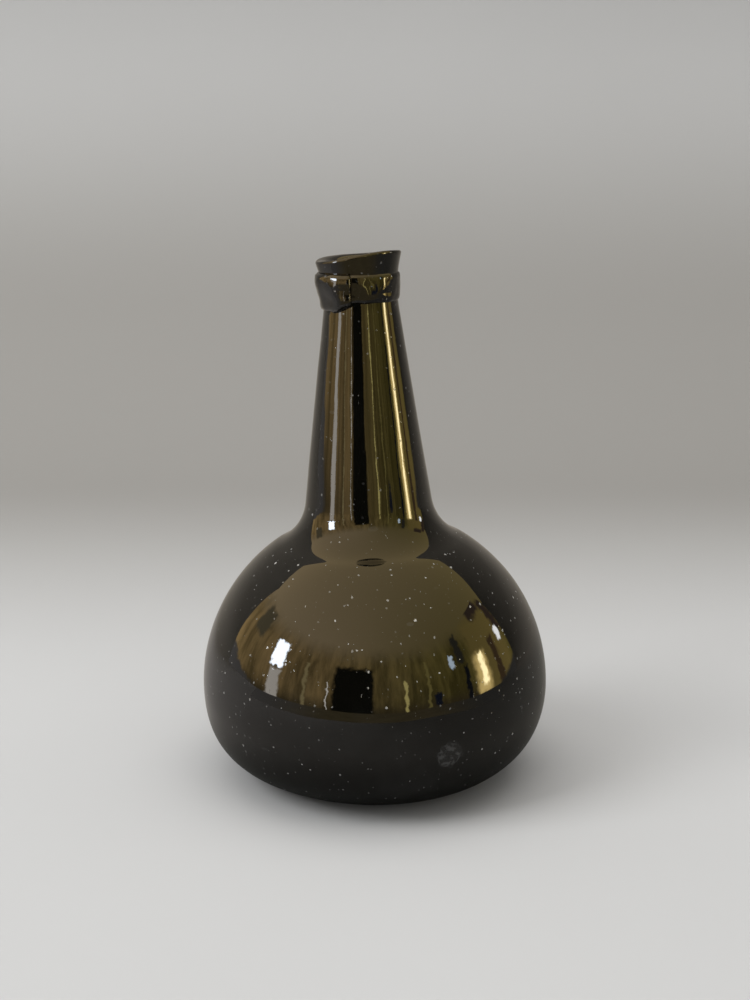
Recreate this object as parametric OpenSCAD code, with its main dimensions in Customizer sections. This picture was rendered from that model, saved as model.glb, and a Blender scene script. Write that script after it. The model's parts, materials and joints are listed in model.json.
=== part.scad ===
// Onion bottle of dark blown glass: a squat bulb with a kick, a leaning neck and an applied string rim.
// The bottle stands on z = 0 with the bulb's axis on Z. The photographed front faces -Y.

/* [Bulb] */
// Widest diameter of the bulb
bulb_d = 140; // [130:1:160]
// Radius of the heel, from the floor round to the widest line
heel_r = 38; // [34:0.5:42]
// Thickness of the blown wall
wall = 4.5; // [3.5:0.25:5.5]

/* [Kick] */
// Height of the kick that is pushed up into the base
kick_h = 34; // [28:1:40]
// Radius of the kick's rounded tip
kick_tip_r = 13; // [11:0.5:15]
// Radius of the kick's rounded foot
kick_foot_r = 5; // [3:0.5:7]
// Width of the worn flat ring that the bottle stands on
bearing_w = 4; // [2:0.5:6]

/* [Neck] */
// Height of the lip above the floor, along the neck
height = 211; // [202:1:220]
// Lean of the neck to the left, in degrees
neck_lean = 2; // [0:0.1:4]
// Outer diameter of the neck at its narrowest, under the lip
throat_d = 28.8; // [27:0.2:31]
// Angle above the widest line at which the dome turns in to the shoulder
shoulder_from = 55; // [53:0.5:57]
// Angle at which the shoulder turns up into the hollow of the neck's foot
shoulder_to = 64; // [62:0.5:66]
// Radius of the shoulder
shoulder_r = 24.5; // [22:0.5:27]
// Radius of the hollow at the neck's foot
neck_foot_r = 21; // [19.5:0.5:22.5]
// Diameter of the straight bore that takes the cork
mouth_d = 20; // [18:0.5:21]

/* [Lip] */
// Radius of the hollow under the lip
flare_r = 50; // [40:1:60]
// Outward tilt of the lip's side, in degrees
flare = 17; // [14:0.5:20]
// Radius of the lip's outer edge
lip_edge_r = 1.2; // [0.8:0.1:1.8]
// Radius of the mouth's rounded inner edge
mouth_edge_r = 4; // [3:0.25:4.5]

/* [String rim] */
// Distance from the lip down to the rim's top ledge
rim_below_lip = 7; // [5.5:0.1:8.5]
// Height of the applied trail
rim_h = 11.75; // [9:0.25:14]
// How far the trail stands out from the neck
rim_t = 1.5; // [1:0.1:2.5]
// How much thicker the trail is where its ends lap
lap_t = 1.2; // [0:0.1:2.5]
// How far the lap sags below the trail
lap_drop = 3.5; // [0:0.25:6]
// Direction of the lap round the neck, from +X towards +Y
lap_at = 215; // [0:5:355]

/* [Pontil scar] */
// Diameter of the ring that the pontil left on the kick's tip
scar_d = 17; // [14:0.5:19]
// Width of the ring's broken ridge
scar_w = 3.5; // [2.5:0.25:4]
// How far the ridge stands out
scar_h = 1; // [0.6:0.1:1.4]
// How much of the ring is left, in degrees
scar_arc = 310; // [240:5:350]

/* [Hidden] */
$fn = 144;
glass = [0.16, 0.15, 0.10];
scar_glass = [0.30, 0.29, 0.22];

// Size of the cutting shapes, and how far a cut overshoots
reach = 400;
over = 1;

// The unit vector at an angle, and the points of an arc
function u(a) = [cos(a), sin(a)];
function arc(c, r, from, to, n = 12) = [for (i = [0:n]) c + r * u(from + (to - from) * i / n)];

// Bulb: below the widest line the heel turns in to the floor, and above it the bulb is a true dome.
// A dome is the same at any lean, so it is turned with the neck and cut level at the widest line,
// a hair inside the heel so that their edges never fall together.
bulb_r = bulb_d / 2;
heel_c = [bulb_r - heel_r, heel_r];
seam_step = 0.02;
dome_r = bulb_r - seam_step;
dome_z = heel_r;
dome_spare = bulb_r * tan(neck_lean) + over;

// Kick: a rounded tip and a rounded foot joined by a straight flank
tip_c = [0, kick_h - kick_tip_r];
foot_c = [heel_c.x - bearing_w, kick_foot_r];
foot_from_tip = foot_c - tip_c;
flank_at = atan2(foot_from_tip.y, foot_from_tip.x)
    + acos((kick_tip_r + kick_foot_r) / norm(foot_from_tip));

// Neck, measured along its own axis from the middle of the dome. Its straight side touches the hollow at its foot
// and the hollow under the lip, and the two set its taper.
neck_top = height - dome_z;
shoulder_c = (dome_r - shoulder_r) * u(shoulder_from);
neck_foot_c = shoulder_c + (shoulder_r + neck_foot_r) * u(shoulder_to);
flare_c = [throat_d / 2 + flare_r, neck_top - lip_edge_r - (flare_r + lip_edge_r) * sin(flare)];
flare_from_foot = flare_c - neck_foot_c;
neck_taper = atan2(flare_from_foot.y, flare_from_foot.x)
    - acos((flare_r - neck_foot_r) / norm(flare_from_foot));
neck_start = neck_foot_c - neck_foot_r * u(neck_taper);
lip_edge_c = flare_c - (flare_r + lip_edge_r) * u(-flare);

// Bore: the inside of the neck tapers with the outside until it is as narrow as the cork's bore
bore_r = mouth_d / 2;
inner_start = neck_start - wall * u(neck_taper);
bore_start_z = inner_start.y + (inner_start.x - bore_r) / tan(neck_taper);
mouth_edge_c = [bore_r + mouth_edge_r, neck_top - mouth_edge_r];

// String rim: its sweep starts inside the neck's wall and its edges bite into the neck's face
rim_top_z = neck_top - rim_below_lip;
rim_core_r = (throat_d - wall) / 2;
rim_bite = 0.3;
rim_steps = 72;
rim_face_steps = 12;

// Outline of the bulb's lower half, set in by t
module heel_outline(t) {
    polygon(concat(
        [[0, t]],
        arc(heel_c, heel_r - t, -90, 0, 24),
        [[0, dome_z]]));
}

// Outline of the hollow under the base, which ends in the bearing ring
module kick_outline() {
    polygon(concat(
        [[0, 0]],
        arc(foot_c, kick_foot_r, 270, 180 + flank_at),
        arc(tip_c, kick_tip_r, flank_at, 90)));
}

// Outline of a kick grown by t, with its flank run on down to half the base's thickness
module kick_hump(t) {
    flank_x = (kick_tip_r + t + (tip_c.y - wall / 2) * sin(flank_at)) / cos(flank_at);
    polygon(concat(
        [[0, wall / 2], [flank_x, wall / 2]],
        arc(tip_c, kick_tip_r + t, flank_at, 90)));
}

// The dome from below the widest line to the shoulder, set in by t
module dome_outline(t) {
    dome_h = (dome_r - t) * sin(shoulder_from);
    intersection() {
        circle(dome_r - t);
        translate([0, -dome_spare]) square([reach, dome_spare + dome_h]);
    }
}

// The neck's foot, set in by t: from the dome over the shoulder to the start of the taper
function neck_foot_points(t) = concat(
    [[0, 0]],
    arc(shoulder_c, shoulder_r - t, shoulder_from, shoulder_to, 4),
    arc(neck_foot_c, -neck_foot_r - t, shoulder_to, neck_taper, 18));

// Outside of the neck, up to the lip
module neck_outline() {
    dome_outline(0);
    polygon(concat(
        neck_foot_points(0),
        arc(flare_c, -flare_r, neck_taper, -flare),
        arc(lip_edge_c, lip_edge_r, -flare, 90),
        [[0, neck_top]]));
}

// Inside of the neck, with the straight bore and the rounded edge of the mouth
module neck_cavity() {
    dome_outline(wall);
    polygon(concat(
        neck_foot_points(wall),
        [[bore_r, bore_start_z]],
        arc(mouth_edge_c, mouth_edge_r, 180, 90),
        [[mouth_edge_c.x, neck_top + over], [0, neck_top + over]]));
}

// Moves a child into the neck's own frame
module on_neck() {
    translate([0, 0, dome_z]) rotate([0, -neck_lean, 0]) children();
}

// A smooth hump of height 1 at the angle c that dies away over w degrees to each side
function hump(a, c, w) =
    let (d = abs((a - c + 540) % 360 - 180))
    d < w ? pow(cos(90 * d / w), 2) : 0;

// The trail's face at the angle a, from its ledge (s = 0) to its lower edge (s = 1), level with the floor
function rim_bulge(s) = pow(sin(180 * pow(s, 1.1)), 0.4);
function rim_point(a, s) =
    let (
        z = rim_top_z - s * (rim_h + lap_drop * hump(a, lap_at + 10, 50)),
        face_r = flare_c.x - sqrt(flare_r * flare_r - pow(z - flare_c.y, 2)),
        t = rim_t + lap_t * hump(a, lap_at - 15, 80),
        r = face_r - rim_bite + (rim_bite + t) * rim_bulge(s))
    [r * cos(a), r * sin(a), z - r * cos(a) * tan(neck_lean)];
function rim_core_point(a, s) =
    let (p = rim_point(a, s))
    [rim_core_r * cos(a), rim_core_r * sin(a), p.z];

// The bottle itself, one free-blown gather from the kick to the lip
module bottle_body() {
    color(glass) {
        rotate_extrude() difference() {
            union() {
                difference() {
                    heel_outline(0);
                    heel_outline(wall);
                }
                kick_hump(wall);
            }
            kick_outline();
        }
        difference() {
            on_neck() rotate_extrude() difference() {
                neck_outline();
                neck_cavity();
            }
            translate([0, 0, dome_z - reach]) cylinder(r = reach, h = reach);
        }
    }
}

// The trail of glass wound round the neck under the lip, thick where its ends lap
module string_rim() {
    // A ring holds the points of the face and one at each end of the core
    ring = rim_face_steps + 3;
    points = [for (i = [0:rim_steps - 1]) let (a = 360 * i / rim_steps) each concat(
        [rim_core_point(a, 0)],
        [for (j = [0:rim_face_steps]) rim_point(a, j / rim_face_steps)],
        [rim_core_point(a, 1)])];
    faces = [for (i = [0:rim_steps - 1], j = [0:ring - 1])
        let (
            here = i * ring,
            next = ((i + 1) % rim_steps) * ring,
            k = (j + 1) % ring)
        each [[here + j, next + j, here + k], [next + j, next + k, here + k]]];
    color(glass) on_neck() difference() {
        polyhedron(points, faces, convexity = 4);
        rotate_extrude() neck_outline();
    }
}

// The broken ring of glass that the pontil left round the tip of the kick
module pontil_scar() {
    color(scar_glass) rotate_extrude(angle = scar_arc) difference() {
        intersection() {
            kick_outline();
            translate([(scar_d - scar_w) / 2, kick_h / 2]) square([scar_w, kick_h]);
        }
        kick_hump(-scar_h);
    }
}

bottle_body();
string_rim();
pontil_scar();
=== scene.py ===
# Onion bottle of nearly black, free-blown glass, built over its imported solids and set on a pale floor.
# Lengths are in metres and angles in degrees.
import json
import math

import bpy
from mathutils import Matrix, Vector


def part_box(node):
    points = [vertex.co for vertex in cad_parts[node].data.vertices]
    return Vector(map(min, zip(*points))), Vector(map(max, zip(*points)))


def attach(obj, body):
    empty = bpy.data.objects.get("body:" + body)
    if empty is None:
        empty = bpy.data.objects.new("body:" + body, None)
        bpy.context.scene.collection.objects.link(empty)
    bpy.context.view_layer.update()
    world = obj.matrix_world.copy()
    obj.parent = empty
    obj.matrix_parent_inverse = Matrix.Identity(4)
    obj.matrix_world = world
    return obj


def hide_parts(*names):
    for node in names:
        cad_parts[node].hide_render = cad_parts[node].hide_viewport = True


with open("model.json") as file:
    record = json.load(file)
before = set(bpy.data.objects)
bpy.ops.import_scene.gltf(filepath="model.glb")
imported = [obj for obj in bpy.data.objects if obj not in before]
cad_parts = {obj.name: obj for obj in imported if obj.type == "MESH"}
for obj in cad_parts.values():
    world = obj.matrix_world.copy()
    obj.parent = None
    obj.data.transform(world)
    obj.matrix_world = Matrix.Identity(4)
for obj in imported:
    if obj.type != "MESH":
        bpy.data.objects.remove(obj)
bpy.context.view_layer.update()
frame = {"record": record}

# Bottle body
# One gather of dark olive-brown glass, blown free-hand: a squat bulb with a kick pushed up into its base,
# a drawn neck that leans to one side, and a lip that was cracked off the iron and flared while hot.
bulb_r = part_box("bottle_body")[1].x
heel_r = 0.038
wall = 0.0045
kick_h = 0.034
kick_tip_r = 0.013
kick_foot_r = 0.005
bearing_w = 0.004
lip_z = 0.211
throat_r = 0.0144
shoulder_from = 55
shoulder_to = 64
shoulder_r = 0.0245
neck_foot_r = 0.021
flare_r = 0.05
flare = 17
lip_edge_r = 0.0008
mouth_edge_r = 0.004
body_turns = 192

mouth = next(m for m in frame["record"]["mounts"] if m["name"] == "mouth_bore")
bore_r = mouth["dims"]["r_mm"] / 1000
neck_lean = math.degrees(math.atan2(-mouth["axis"][0], mouth["axis"][2]))


def polar(centre, radius, degrees):
    """The point at a distance and an angle from a centre."""
    angle = math.radians(degrees)
    return centre[0] + radius * math.cos(angle), centre[1] + radius * math.sin(angle)


def arc(centre, radius, start, end, steps):
    """The points of an arc, angles in degrees."""
    return [polar(centre, radius, start + (end - start) * i / steps) for i in range(steps + 1)]


def line(start, end, steps):
    """The points between two points, without the ends."""
    return [tuple(a + (b - a) * i / steps for a, b in zip(start, end)) for i in range(1, steps)]


def draw_outline(name, points):
    """Extrudes a new piece from a single point along an outline in the XZ plane, and stays in edit mode."""
    bpy.ops.object.select_all(action="DESELECT")
    bpy.ops.mesh.primitive_plane_add(size=0.01)
    piece = bpy.context.object
    piece.name = piece.data.name = name
    bpy.ops.object.mode_set(mode="EDIT")
    bpy.ops.mesh.merge(type="CENTER")
    bpy.ops.transform.translate(value=(points[0][0], 0, points[0][1]))
    for (x0, z0), (x1, z1) in zip(points, points[1:]):
        bpy.ops.mesh.extrude_vertices_move(TRANSFORM_OT_translate={"value": (x1 - x0, 0, z1 - z0)})
    return piece


def turn_outline(degrees, steps):
    """Sweeps a drawn outline round the bulb's axis, from +X towards +Y, and closes it where it meets itself.
    Without a window the operator turns the other way."""
    bpy.ops.mesh.select_all(action="SELECT")
    bpy.ops.mesh.spin(steps=steps, angle=-math.radians(degrees), center=(0, 0, 0), axis=(0, 0, 1))
    bpy.ops.mesh.select_all(action="SELECT")
    bpy.ops.mesh.remove_doubles(threshold=1e-6)
    bpy.ops.mesh.normals_make_consistent(inside=False)


def pick(piece, test):
    """Selects the points of a piece whose place passes a test, and stays in edit mode."""
    bpy.ops.mesh.select_all(action="DESELECT")
    bpy.ops.object.mode_set(mode="OBJECT")
    for point in piece.data.vertices:
        point.select = test(point.co)
    bpy.ops.object.mode_set(mode="EDIT")


def turn(degrees, axis="Z", centre=(0, 0, 0)):
    """Turns the picked points anticlockwise about an axis. This operator too turns the other way."""
    bpy.ops.transform.rotate(value=-math.radians(degrees), orient_axis=axis, center_override=centre)


def nudge(shift, reach):
    """Moves the picked points, and those within reach of them less and less."""
    bpy.ops.transform.translate(
        value=shift,
        use_proportional_edit=True,
        proportional_edit_falloff="SMOOTH",
        proportional_size=reach,
    )


def leave_waviness(piece, size, depth, group=""):
    """Displaces a finished piece by slow noise, as hand work leaves glass."""
    noise = bpy.data.textures.new(piece.name + "_waviness", "CLOUDS")
    noise.noise_scale = size
    wave = piece.modifiers.new("waviness", "DISPLACE")
    wave.texture = noise
    wave.texture_coords = "LOCAL"
    wave.strength = depth
    wave.vertex_group = group
    bpy.ops.object.modifier_apply(modifier=wave.name)


# The kick is a rounded tip and a rounded foot, joined by a straight flank.
heel_c = (bulb_r - heel_r, heel_r)
tip_c = (0, kick_h - kick_tip_r)
foot_c = (heel_c[0] - bearing_w, kick_foot_r)
fall = (foot_c[0], foot_c[1] - tip_c[1])
flank_turn = math.degrees(math.acos((kick_tip_r + kick_foot_r) / math.hypot(*fall)))
flank_at = math.degrees(math.atan2(fall[1], fall[0])) + flank_turn

# The neck's straight side touches the hollow at its foot and the hollow under the lip.
dome_c = (0, heel_r)
shoulder_c = polar(dome_c, bulb_r - shoulder_r, shoulder_from)
neck_foot_c = polar(shoulder_c, shoulder_r + neck_foot_r, shoulder_to)
flare_drop = (flare_r + lip_edge_r) * math.sin(math.radians(flare))
flare_c = (throat_r + flare_r, lip_z - lip_edge_r - flare_drop)
rise = (flare_c[0] - neck_foot_c[0], flare_c[1] - neck_foot_c[1])
side_turn = math.degrees(math.acos((flare_r - neck_foot_r) / math.hypot(*rise)))
neck_taper = math.degrees(math.atan2(rise[1], rise[0])) - side_turn
neck_start = polar(neck_foot_c, -neck_foot_r, neck_taper)
flare_start = polar(flare_c, -flare_r, neck_taper)
lip_edge_c = polar(flare_c, -flare_r - lip_edge_r, -flare)

# Inside, the taper ends where the neck is as narrow as the cork's bore.
mouth_edge_c = (bore_r + mouth_edge_r, lip_z - mouth_edge_r)
inner_start = polar(neck_start, -wall, neck_taper)
bore_rise = (inner_start[0] - bore_r) / math.tan(math.radians(neck_taper))
bore_start = (bore_r, inner_start[1] + bore_rise)

outside = (
    arc(tip_c, kick_tip_r, 90, flank_at, 14)
    + arc(foot_c, kick_foot_r, 180 + flank_at, 270, 10)
    + arc(heel_c, heel_r, -90, 0, 40)
    + arc(dome_c, bulb_r, 0, shoulder_from, 40)[1:]
    + arc(shoulder_c, shoulder_r, shoulder_from, shoulder_to, 6)[1:]
    + arc(neck_foot_c, -neck_foot_r, shoulder_to, neck_taper, 20)[1:]
    + line(neck_start, flare_start, 28)
    + arc(flare_c, -flare_r, neck_taper, -flare, 18)
    + arc(lip_edge_c, lip_edge_r, -flare, 90, 8)[1:]
)
inside = (
    arc(mouth_edge_c, mouth_edge_r, 90, 180, 8)
    + line((bore_r, mouth_edge_c[1]), bore_start, 5)
    + [bore_start]
    + line(bore_start, inner_start, 20)
    + arc(neck_foot_c, -neck_foot_r - wall, neck_taper, shoulder_to, 16)
    + arc(shoulder_c, shoulder_r - wall, shoulder_to, shoulder_from, 4)[1:]
    + arc(dome_c, bulb_r - wall, shoulder_from, 0, 24)[1:]
    + arc(heel_c, heel_r - wall, 0, -90, 20)[1:]
    + arc(tip_c, kick_tip_r + wall, flank_at, 90, 14)
)
body = draw_outline("blown_body", outside + inside)
turn_outline(360, body_turns)

# The dome keeps its shape when it turns about its middle, so the lean is spread over its rings.
# The kick's hump comes close to that middle and stays upright.
lean_from = 20
lean_to = 50
lean_steps = 12
hump_reach = 0.8 * bulb_r


def leans(co, above):
    """Whether a point of the wall lies above an angle, as seen from the dome's middle."""
    up = co.z - heel_r
    out = math.hypot(co.x, co.y)
    return math.hypot(up, out) > hump_reach and math.degrees(math.atan2(up, out)) > above


for step in range(lean_steps):
    above = lean_from + (lean_to - lean_from) * (step + 0.5) / lean_steps
    pick(body, lambda co: leans(co, above))
    turn(-neck_lean / lean_steps, "Y", (0, 0, heel_r))

# The neck's top bends a little further over, and the lip was cracked off out of square: it falls off towards
# the back and dips at the left.
neck_x = -math.sin(math.radians(neck_lean)) * (lip_z - heel_r)
slant_steps = 8
for axis, slant, slant_from, slant_to in (("Y", 1.8, 0.184, 0.207), ("X", 4.3, 0.2, 0.208)):
    for step in range(slant_steps):
        above = slant_from + (slant_to - slant_from) * (step + 0.5) / slant_steps
        pick(body, lambda co: co.z > above)
        turn(-slant / slant_steps, axis, (neck_x, 0, above))

lip_from = 0.207
lip_r = 0.016
dip_at = 215
dip_w = 0.003
dip_depth = 0.0025
dip_reach = 0.023
dip_x, dip_y = polar((neck_x, 0), lip_r, dip_at)
pick(body, lambda co: co.z > lip_from and math.hypot(co.x - dip_x, co.y - dip_y) < dip_w)
nudge((0, 0, -dip_depth), dip_reach)

# The heel settled fuller than a true round before the glass set, most at the left.
heel_low = 0.005
heel_high = 0.012
heel_from = 0.045
heel_swell = 1.016
slump = 0.0012
slump_reach = 0.028


def on_heel(co):
    """Whether a point is in the band of the heel that settled."""
    return heel_low < co.z < heel_high and math.hypot(co.x, co.y) > heel_from


pick(body, on_heel)
bpy.ops.transform.resize(
    value=(heel_swell, heel_swell, 1),
    center_override=(0, 0, 0),
    use_proportional_edit=True,
    proportional_edit_falloff="SMOOTH",
    proportional_size=slump_reach,
)
pick(body, lambda co: on_heel(co) and co.x < -heel_from)
nudge((-slump, 0, 0), slump_reach)
bpy.ops.object.mode_set(mode="OBJECT")
bpy.ops.object.shade_smooth()

# The base stands flat, so the waviness of the blown wall fades out towards the floor.
wave_size = 0.05
wave_depth = 0.0006
wave_full_z = 0.03
blown = body.vertex_groups.new(name="blown")
for point in body.data.vertices:
    blown.add([point.index], min(1, max(0, point.co.z / wave_full_z)), "REPLACE")
leave_waviness(body, wave_size, wave_depth, blown.name)


class Wire:
    """A socket of a material's nodes: maths on it adds Math nodes, and node() adds any other node."""

    def __init__(self, tree, socket=None):
        self.tree = tree
        self.socket = socket

    def node(self, kind, settings=None, sockets=None, output=0):
        made = self.tree.nodes.new(kind)
        for name, value in (settings or {}).items():
            setattr(made, name, value)
        for name, value in (sockets or {}).items():
            if isinstance(value, Wire):
                self.tree.links.new(value.socket, made.inputs[name])
            else:
                made.inputs[name].default_value = value
        return Wire(self.tree, made.outputs[output])

    def maths(self, operation, first, second):
        return self.node("ShaderNodeMath", {"operation": operation}, {0: first, 1: second})

    def __add__(self, other):
        return self.maths("ADD", self, other)

    def __radd__(self, other):
        return self.maths("ADD", other, self)

    def __sub__(self, other):
        return self.maths("SUBTRACT", self, other)

    def __rsub__(self, other):
        return self.maths("SUBTRACT", other, self)

    def __mul__(self, other):
        return self.maths("MULTIPLY", self, other)

    def __rmul__(self, other):
        return self.maths("MULTIPLY", other, self)

    def __abs__(self):
        return self.maths("ABSOLUTE", self, 0)

    def __gt__(self, other):
        return self.maths("GREATER_THAN", self, other)

    def fade(self, low, high):
        """0 below low, 1 above high and smooth between them."""
        return self.node(
            "ShaderNodeMapRange",
            {"interpolation_type": "SMOOTHSTEP"},
            {"Value": self, "From Min": low, "From Max": high},
        )

    def blend(self, first, second):
        """The colour between two colours, with this value as the second one's share."""
        return self.node("ShaderNodeMix", {"data_type": "RGBA"}, {0: self, 6: first, 7: second}, output=2)

    def along(self, axis):
        """One coordinate of this place."""
        return self.node("ShaderNodeSeparateXYZ", sockets={"Vector": self}, output=axis)

    def far_from(self, point):
        """The distance of this place from a point."""
        return self.node(
            "ShaderNodeVectorMath", {"operation": "DISTANCE"}, {0: self, 1: point}, output="Value"
        )

    def stretch(self, scale, turned=(0, 0, 0)):
        """This place scaled and then turned by radians, which draws out a pattern where the scale is small."""
        return self.node("ShaderNodeMapping", sockets={"Vector": self, "Rotation": turned, "Scale": scale})

    def noise(self, scale, detail=2, roughness=0.5):
        """Cloudy noise at this place, from 0 to 1."""
        return self.node(
            "ShaderNodeTexNoise",
            sockets={"Vector": self, "Scale": scale, "Detail": detail, "Roughness": roughness},
        )


def start_material(name):
    """A new material, its Principled shader, and the place on its piece as a wire."""
    material = bpy.data.materials.new(name)
    material.use_nodes = True
    place = Wire(material.node_tree).node("ShaderNodeTexCoord", output="Object")
    return material, material.node_tree.nodes["Principled BSDF"], place


def feed(shader, **sockets):
    """Links wires to a shader's sockets, whose names have their spaces as underscores."""
    for name, wire in sockets.items():
        wire.tree.links.new(wire.socket, shader.inputs[name.replace("_", " ")])


def chance_spots(place, scale, least, spread, rarity):
    """Spots in the cells of a pattern, from 0 to 1: most are small and faint, and some cells have none."""
    cells = {"Vector": place, "Scale": scale}
    far = place.node("ShaderNodeTexVoronoi", sockets=cells, output="Distance")
    kind = place.node("ShaderNodeTexVoronoi", sockets=cells, output="Color")
    chance, size, pale = (
        place.node("ShaderNodeSeparateColor", sockets={"Color": kind}, output=part)
        for part in ("Red", "Green", "Blue")
    )
    reach = least + spread * size * size * size
    spot = 1 - (far - reach).fade(-least, 0.5 * least)
    return spot * (chance > rarity) * (0.06 + 0.94 * pale * pale)


def dark_glass(name, worn, ripples):
    """Nearly black glass with grit and haze on it. worn(place) gives the share of matte wear at a place,
    and ripples(place) the height of the tool marks there, from 0 to 1."""
    material, shader, place = start_material(name)
    height = place.along("Z")

    # Seeds, pits and dust: ragged fine grains, short scratches and a few larger smears, as pale as chance
    # has it. Grains and scratches are fainter on the neck.
    crumbs = place.node("ShaderNodeTexNoise", sockets={"Vector": place, "Scale": 1500}, output="Color")
    ragged = place.node(
        "ShaderNodeVectorMath", {"operation": "MULTIPLY_ADD"}, {0: crumbs, 1: (0.001,) * 3, 2: place}
    )
    drawn_out = ragged.stretch((1, 1, 0.09), turned=(0.5, 0.9, 0))
    grains = chance_spots(ragged, scale=560, least=0.055, spread=0.24, rarity=0.45)
    scratches = chance_spots(drawn_out, scale=300, least=0.035, spread=0.06, rarity=0.35)
    smears = chance_spots(place.stretch((1, 1, 2.2)), scale=75, least=0.02, spread=0.16, rarity=0.5)
    grit = (grains + 0.6 * scratches) * (1 - 0.6 * height.fade(0.09, 0.12))

    # Haze from handling and dust, patchy and stronger low on the bulb
    patches = place.noise(45, detail=5, roughness=0.6).fade(0.42, 0.75)
    haze = patches * (1 - 0.8 * height.fade(0.02, 0.075))
    matte = worn(place)

    black = (0.0020, 0.0018, 0.0012, 1)
    dust = (0.34, 0.34, 0.34, 1)
    chalk = (0.66, 0.66, 0.64, 1)
    colour = (0.015 * haze + 0.04 * smears + 0.25 * matte).blend(black, dust)
    relief = ripples(place) + 0.012 * place.noise(260) + 0.4 * grit
    shader.inputs["IOR"].default_value = 1.5
    feed(
        shader,
        Base_Color=(0.6 * grit).blend(colour, chalk),
        Roughness=0.02 + 0.05 * haze + 0.06 * smears + 0.4 * grit + 0.4 * matte,
        Normal=place.node("ShaderNodeBump", sockets={"Strength": 1, "Distance": 0.0001, "Height": relief}),
    )
    return material


def body_wear(place):
    """A grey scuff low on the front, and the ring on which the bottle stands, worn by shelves and tables."""
    scuff_at = (0.0277, -0.0635, 0.0304)
    ragged = place.noise(420, detail=5)
    scuff = 1 - (place.far_from(scuff_at) + 0.006 * ragged).fade(0.0078, 0.0088)
    ring = (1 - place.along("Z").fade(0.00005, 0.0007)) * (0.2 + 0.8 * ragged.fade(0.4, 0.6))
    return (0.12 + 0.42 * ragged.fade(0.45, 0.62)) * scuff + ring


def neck_lines(place):
    """Fine lines that drawing out the neck left along it, and its grainy skin."""
    lines = place.stretch((1, 1, 0.03)).noise(330, detail=3)
    grain = place.noise(1400)
    return (0.4 * lines + 0.05 * grain) * place.along("Z").fade(0.1, 0.13)


body.data.materials.append(dark_glass("dark_glass", body_wear, neck_lines))
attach(body, "root")
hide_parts("bottle_body")

# String rim
# A trail of the same hot glass, wound once round the neck under the lip to hold the cork's string.
# Its last stretch laps over its start at the front left, thicker, sagging and cut off square.
rim_below_lip = 0.007
rim_h = 0.01175
rim_t = 0.0012
rim_bite = 0.0012
ledge_t = 0.0004
rim_aside = 0.0004
rim_lean = 0.75 * neck_lean
rim_r = throat_r + rim_t
rim_top_z = lip_z - rim_below_lip
rim_mid_z = rim_top_z - rim_h / 2
rim_x = -math.sin(math.radians(neck_lean)) * (rim_mid_z - heel_r) - rim_aside
face_steps = 16

# The winding goes on past a full turn, and these are degrees along it.
trail_start = 200
trail_end = 619
trail_step = 3
lap_rise = (480, 560)
lap_t = 0.0017
sag_rise = (470, 540)
sag_fall = (585, 628)
sag_depth = 0.0032


def trail_face(share):
    """A point of the trail's face, from its ledge at 0 to its lower edge at 1."""
    z = rim_top_z - share * rim_h
    root = flare_c[0] - math.sqrt(flare_r**2 - (z - flare_c[1]) ** 2) - rim_bite / 2
    crown = (1 - abs(2 * share - 1) ** 5) ** 0.4
    return root + (rim_r + ledge_t * (1 - share) - root) * crown, z


def smooth(angle, start, end):
    """0 before start, 1 after end and smooth between them."""
    share = min(1, max(0, (angle - start) / (end - start)))
    return share * share * (3 - 2 * share)


def lap_size(angle):
    """How far the trail stands out and how far it hangs down at an angle of its winding, as scales."""
    lift = lap_t * smooth(angle, *lap_rise)
    sag = sag_depth * smooth(angle, *sag_rise) * (1 - smooth(angle, *sag_fall))
    return (rim_r + lift) / rim_r, (rim_h + sag) / rim_h


face = [trail_face(i / face_steps) for i in range(face_steps + 1)]
core_r = face[-1][0] - rim_bite
rim = draw_outline("string_rim_trail", [(core_r, rim_top_z)] + face + [(core_r, rim_top_z - rim_h)])
bpy.ops.mesh.select_all(action="SELECT")
bpy.ops.mesh.edge_face_add()
turn(trail_start)
out_was, down_was = lap_size(trail_start)
for angle in range(trail_start + trail_step, trail_end, trail_step):
    out_now, down_now = lap_size(angle)
    bpy.ops.mesh.extrude_region_move()
    turn(trail_step)
    bpy.ops.transform.resize(
        value=(out_now / out_was, out_now / out_was, down_now / down_was),
        center_override=(0, 0, rim_top_z),
    )
    out_was, down_was = out_now, down_now

# The cut end is rounded off in two short steps.
for swing, shrink in ((1.2, 0.9), (0.6, 0.7)):
    bpy.ops.mesh.extrude_region_move()
    turn(swing)
    bpy.ops.transform.resize(value=(shrink, shrink, shrink))
bpy.ops.mesh.select_all(action="SELECT")
bpy.ops.mesh.normals_make_consistent(inside=False)

# The lap's lower edge was pressed back on to the neck, and the whole trail leans with it.
press = (0.0016, 0.0006, 0)
press_reach = 0.009
press_left = -0.014
press_back = 0.006
pick(rim, lambda co: co.x < press_left and co.y < press_back and co.z < rim_top_z - rim_h)
nudge(press, press_reach)
bpy.ops.mesh.select_all(action="SELECT")
turn(-rim_lean, "Y", (0, 0, rim_mid_z))
bpy.ops.transform.translate(value=(rim_x, 0, 0))
bpy.ops.object.mode_set(mode="OBJECT")
bpy.ops.object.shade_smooth()
leave_waviness(rim, size=0.006, depth=0.0008)


def rim_wear(place):
    """Fine scuffs on the trail's crown."""
    return 0.3 * place.noise(900, detail=4).fade(0.62, 0.72)


def tool_marks(place):
    """Shallow marks of the tool that pressed the trail down, running round the neck."""
    return 0.3 * place.stretch((0.15, 0.15, 1)).noise(900, detail=3)


rim.data.materials.append(dark_glass("rim_glass", rim_wear, tool_marks))
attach(rim, "root")
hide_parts("string_rim")

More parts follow.
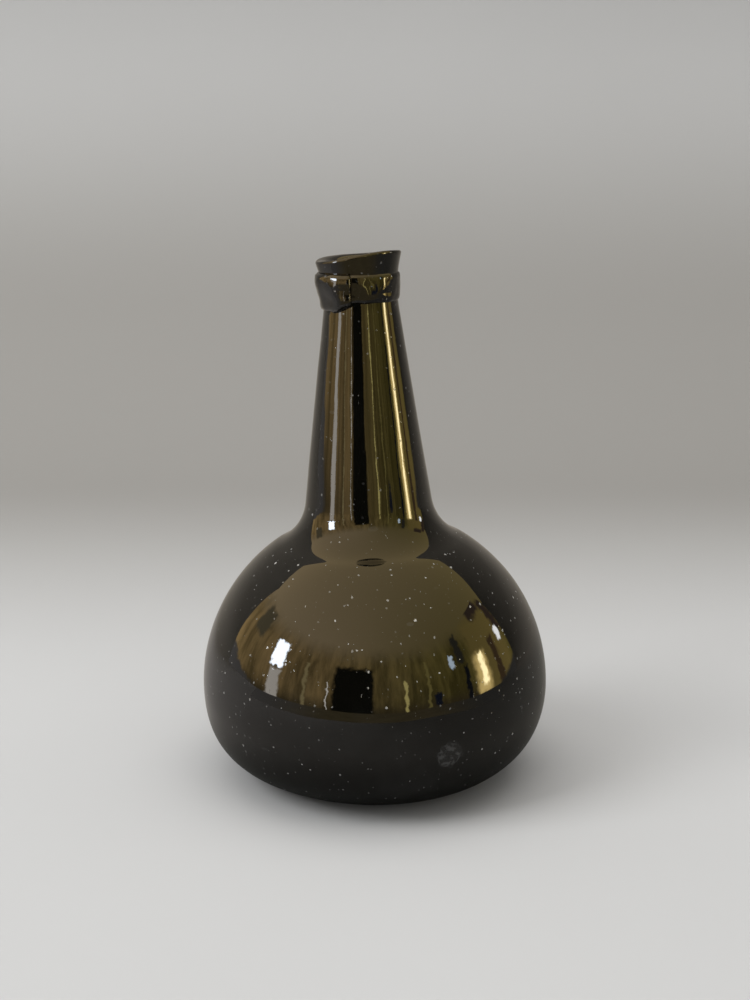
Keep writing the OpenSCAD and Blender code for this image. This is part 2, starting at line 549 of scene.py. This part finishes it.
# Pontil scar
# The broken ring of glass that stayed on the kick's tip when the pontil rod was knocked off.
# Its section is turned most of the way round, and its crest is left rough.
scar_r = 0.0085
scar_w = 0.0035
scar_h = 0.001
scar_root = 0.0003
scar_arc = 310
scar_turns = 96


def scar_point(share, depth):
    """A point across the scar, from its inner to its outer edge, at a depth below the kick's face."""
    x = scar_r + scar_w * (share - 0.5)
    return polar(tip_c, kick_tip_r - depth, math.degrees(math.acos(x / kick_tip_r)))


crest = [scar_point(i / 8, scar_h * math.sin(math.pi * i / 8)) for i in range(9)]
root = [scar_point(i / 4, -scar_root) for i in range(4, -1, -1)]
scar = draw_outline("pontil_ring", crest + root)
bpy.ops.mesh.select_all(action="SELECT")
bpy.ops.mesh.edge_face_add()
turn_outline(scar_arc, scar_turns)
bpy.ops.object.mode_set(mode="OBJECT")
bpy.ops.object.shade_smooth()
leave_waviness(scar, size=0.0016, depth=0.0007)

scar_glass, shader, place = start_material("scar_glass")
chips = place.noise(1400, detail=5)
shader.inputs["IOR"].default_value = 1.56
feed(
    shader,
    Base_Color=chips.fade(0.4, 0.7).blend((0.02, 0.018, 0.01, 1), (0.2, 0.19, 0.15, 1)),
    Roughness=0.2 + 0.4 * chips,
    Normal=place.node("ShaderNodeBump", sockets={"Strength": 0.6, "Distance": 0.0003, "Height": chips}),
)
scar.data.materials.append(scar_glass)
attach(scar, "root")
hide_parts("pontil_scar")

# Floor and backdrop
# A pale sheet of paper that lies under the bottle and sweeps up behind it in one curve.
# Shade is painted into its colour: it is darker where it turns up, and its foot and its top are paler.
floor_reach = 6
backdrop_y = 0.95
backdrop_h = 4
sweep_r = 0.45
sweep_c = (backdrop_y - sweep_r, sweep_r)
floor = draw_outline(
    "pale_sweep",
    [(-floor_reach, 0)] + arc(sweep_c, sweep_r, -90, 0, 24) + [(backdrop_y, backdrop_h)],
)
bpy.ops.mesh.select_all(action="SELECT")
bpy.ops.transform.translate(value=(0, -floor_reach, 0))
bpy.ops.mesh.extrude_edges_move(TRANSFORM_OT_translate={"value": (0, 2 * floor_reach, 0)})
bpy.ops.mesh.select_all(action="SELECT")
turn(90)
bpy.ops.object.mode_set(mode="OBJECT")
bpy.ops.object.shade_smooth()

pale_sweep, shader, place = start_material("pale_sweep")
depth = place.along("Y")
paper = place.noise(3, detail=3).blend((0.53, 0.53, 0.53, 1), (0.57, 0.57, 0.57, 1))
# Painted shade: the sheet darkens where it turns up, and pales again at its foot and higher up.
painted_shade = depth.fade(0.05, 0.55) * (1 - 0.7 * place.along("Z").fade(0.1, 0.35))
paper = painted_shade.blend(paper, (0.31, 0.30, 0.285, 1))

# Shade is painted into the sheet as the gloss sees it: it is dimmer, most of all at the right, where a painted
# shadow lies, and close to the bottle.
mirrored_with_painted_shade = place.along("X").fade(-0.3, 0.15).blend((0.48, 0.45, 0.43, 1), (0.22, 0.21, 0.19, 1))
mirrored_with_painted_shade = depth.fade(0.05, 0.5).blend(mirrored_with_painted_shade, (0.31, 0.28, 0.24, 1))
# Painted shade close to the bottle, where the bulb overhangs the floor.
mirrored_with_painted_shade = place.far_from((0, 0, 0)).fade(0.05, 0.12).blend((0.1, 0.1, 0.095, 1), mirrored_with_painted_shade)
glossy = place.node("ShaderNodeLightPath", output="Is Glossy Ray")
feed(shader, Base_Color=glossy.blend(paper, mirrored_with_painted_shade))
shader.inputs["Roughness"].default_value = 0.9
shader.inputs["Specular IOR Level"].default_value = 0
floor.data.materials.append(pale_sweep)


# Studio light
# A softbox at the left, a large one overhead and a grey surround light the bottle and the floor.
# A warm screen round the front, a canopy and a dim ground glow for the gloss alone, which mirrors them.
def softbox(name, place, size, watts, colour):
    """A square lamp that looks at the bottle and lights it without showing in its gloss."""
    bpy.ops.object.light_add(type="AREA", location=place)
    lamp = bpy.context.object
    lamp.name = name
    lamp.data.size = size
    lamp.data.energy = watts
    lamp.data.color = colour
    lamp.rotation_euler = (-lamp.location).to_track_quat("-Z", "Y").to_euler()
    lamp.visible_glossy = False


softbox("side_light", place=(-2.2, -1.0, 2.1), size=1.6, watts=50, colour=(0.97, 0.985, 1.0))
softbox("top_light", place=(0, 0.15, 2.4), size=3, watts=44, colour=(1.0, 0.975, 0.94))
world = bpy.data.worlds.new("grey_surround")
world.use_nodes = True
world.node_tree.nodes["Background"].inputs["Color"].default_value = (0.5, 0.5, 0.49, 1)
bpy.context.scene.world = world
bpy.context.scene.view_settings.view_transform = "Standard"

# Directions on the sheets are in degrees, from the front to the right and up from the eye's height.
screen_r = 1.2
screen_left = -112
screen_right = 105
eye_h = 0.06
canopy_h = 0.98
canopy_back = 0.45
canopy_reach = 1.5
canopy_left = (2.2, 1.66, 0.95, 1)
canopy_right = (1.2, 0.93, 0.36, 1)
ground_from = 0.36
ground_z = 0.003
# The floor's tone as the gloss sees it, with painted shadow at the right.
ground_side = 80
floor_left = (0.5, 0.47, 0.45, 1)
floor_right_in_painted_shadow = (0.24, 0.23, 0.21, 1)


def make_glow(sheet, paint):
    """Makes a sheet glow for the gloss alone. paint(place) gives its colour at a place."""
    bpy.ops.object.mode_set(mode="OBJECT")
    sheet.visible_camera = False
    sheet.visible_diffuse = False
    sheet.visible_shadow = False
    material, shader, place = start_material(sheet.name)
    glow = place.node("ShaderNodeEmission", sockets={"Color": paint(place)})
    feed(material.node_tree.nodes["Material Output"], Surface=glow)
    material.node_tree.nodes.remove(shader)
    sheet.data.materials.append(material)


def round_sheet(name, outline, start, end):
    """A sheet that stands or lies round the bottle between two directions."""
    sheet = draw_outline(name, outline)
    turn_outline(end - start, round((end - start) / 3))
    bpy.ops.mesh.select_all(action="SELECT")
    turn(start - 90)
    return sheet


def direction(place):
    """The direction of a place from the bottle."""
    return math.degrees(1) * place.maths("ARCTAN2", place.along("X"), -1 * place.along("Y"))


def canopy_glow(place):
    """Warm and bright at the left, and deeper at the right."""
    return place.along("X").fade(-screen_r, screen_r).blend(canopy_left, canopy_right)


def ground_glow(place):
    """Patchy brown at the front, and the floor's tone at the sides, with painted shadow at the right."""
    brown = place.noise(8, detail=3).blend((0.25, 0.19, 0.1, 1), (0.6, 0.48, 0.25, 1))
    pale = place.along("X").fade(-0.3, 0.3).blend(floor_left, floor_right_in_painted_shadow)
    return abs(direction(place)).fade(25, 75).blend(brown, pale)


def screen_glow(place):
    """A streaky olive screen that brightens into the canopy, with lamps, strips and dark flags on it."""
    wobble = 5 * (place.noise(14, detail=4) - 0.5)
    around = direction(place) + wobble
    above = math.degrees(1) * place.maths("ARCTAN2", place.along("Z") - eye_h, screen_r) + wobble
    side = place.along("X").fade(-screen_r, screen_r)
    streaks = place.stretch((1, 1, 0.2)).noise(7, detail=5, roughness=0.65)
    dim = side.blend((0.75, 0.52, 0.2, 1), (0.4, 0.32, 0.07, 1))
    bright = side.blend((2.3, 1.55, 0.65, 1), (1.15, 0.92, 0.24, 1))
    colour = streaks.fade(0.3, 0.7).blend(dim, bright)
    colour = above.fade(-5, 7).blend((0.35, 0.26, 0.12, 1), colour)
    colour = above.fade(24, 39).blend(colour, canopy_glow(place))

    # Direction, half width, height, half height, softness of the edge, and glow
    for middle, wide, up, tall, soft, glow in (
        (86, 16, 15, 20, 6, (1.35, 1.0, 0.3, 1)),
        (-95, 6, 27, 7, 3, (0.7, 0.58, 0.34, 1)),
        (-69, 5.5, 20, 6.5, 1.5, (24, 26, 29, 1)),
        (-68, 4.5, 3, 9, 2, (5, 4.6, 4.1, 1)),
        (-46, 1.2, 8, 14, 1.5, (2.4, 1.9, 0.9, 1)),
        (-31, 0.5, 4, 10, 0.6, (7, 6.6, 6, 1)),
        (-14, 13, 8, 16, 3, (0.02, 0.02, 0.015, 1)),
        (19, 1, 4, 12, 1, (5, 4.2, 1.5, 1)),
        (34, 1, 10, 16, 1, (1.6, 1.3, 0.4, 1)),
        (40, 2.5, 2, 4, 1.5, (0.06, 0.08, 0.16, 1)),
        (53, 1.8, 20, 4, 1.2, (6, 7.2, 8.4, 1)),
        (61, 2.5, 25, 8, 2, (0.2, 0.19, 0.14, 1)),
        (63, 1.6, 5, 10, 1.2, (0.04, 0.05, 0.08, 1)),
        (75, 5, 7, 10, 5, (9, 6.6, 2.4, 1)),
        (76, 2, 9, 8, 2, (24, 20, 11, 1)),
        (90, 2.5, 6, 14, 2, (0.45, 0.28, 0.14, 1)),
        (91, 8, 37, 5, 4, (0.3, 0.2, 0.15, 1)),
        (102, 3, 25, 9, 3, (0.3, 0.2, 0.15, 1)),
        (99, 1.8, 17, 3, 1.2, (12, 12, 12, 1)),
    ):
        beside = abs(around - middle).fade(wide - soft / 2, wide + soft / 2)
        beyond = abs(above - up).fade(tall - soft / 2, tall + soft / 2)
        colour = ((1 - beside) * (1 - beyond)).blend(colour, glow)

    # The floor's tone, with its painted shadow at the right, rises in front of the screen's two ends.
    clear = (above - 0.4 * abs(around) + 37.5).fade(-1.5, 1.5)
    return clear.blend(side.blend(floor_left, floor_right_in_painted_shadow), colour)


canopy = draw_outline("canopy", [(-canopy_reach, canopy_h), (canopy_reach, canopy_h)])
bpy.ops.mesh.select_all(action="SELECT")
bpy.ops.transform.translate(value=(0, canopy_back, 0))
bpy.ops.mesh.extrude_edges_move(TRANSFORM_OT_translate={"value": (0, -canopy_back - canopy_reach, 0)})
make_glow(canopy, canopy_glow)
ground = round_sheet("ground", [(ground_from, ground_z), (screen_r, ground_z)], -ground_side, ground_side)
make_glow(ground, ground_glow)
screen = round_sheet("screen", [(screen_r, ground_z), (screen_r, canopy_h)], screen_left, screen_right)
make_glow(screen, screen_glow)

# Camera
# It stands in front, a little above the lip, and looks down at the bulb. The lens takes in the whole bottle
# and the floor round it.
lens_px = 1500
frame_h_px = 1000
look_down = 13.22
camera_data = bpy.data.cameras.new("camera")
camera_data.sensor_fit = "VERTICAL"
camera_data.sensor_height = 36
camera_data.lens = camera_data.sensor_height * lens_px / frame_h_px
camera = bpy.data.objects.new("camera", camera_data)
camera.location = (0, -0.585, 0.2504)
camera.rotation_euler = (math.radians(90 - look_down), 0, 0)
bpy.context.scene.collection.objects.link(camera)
bpy.context.scene.camera = camera
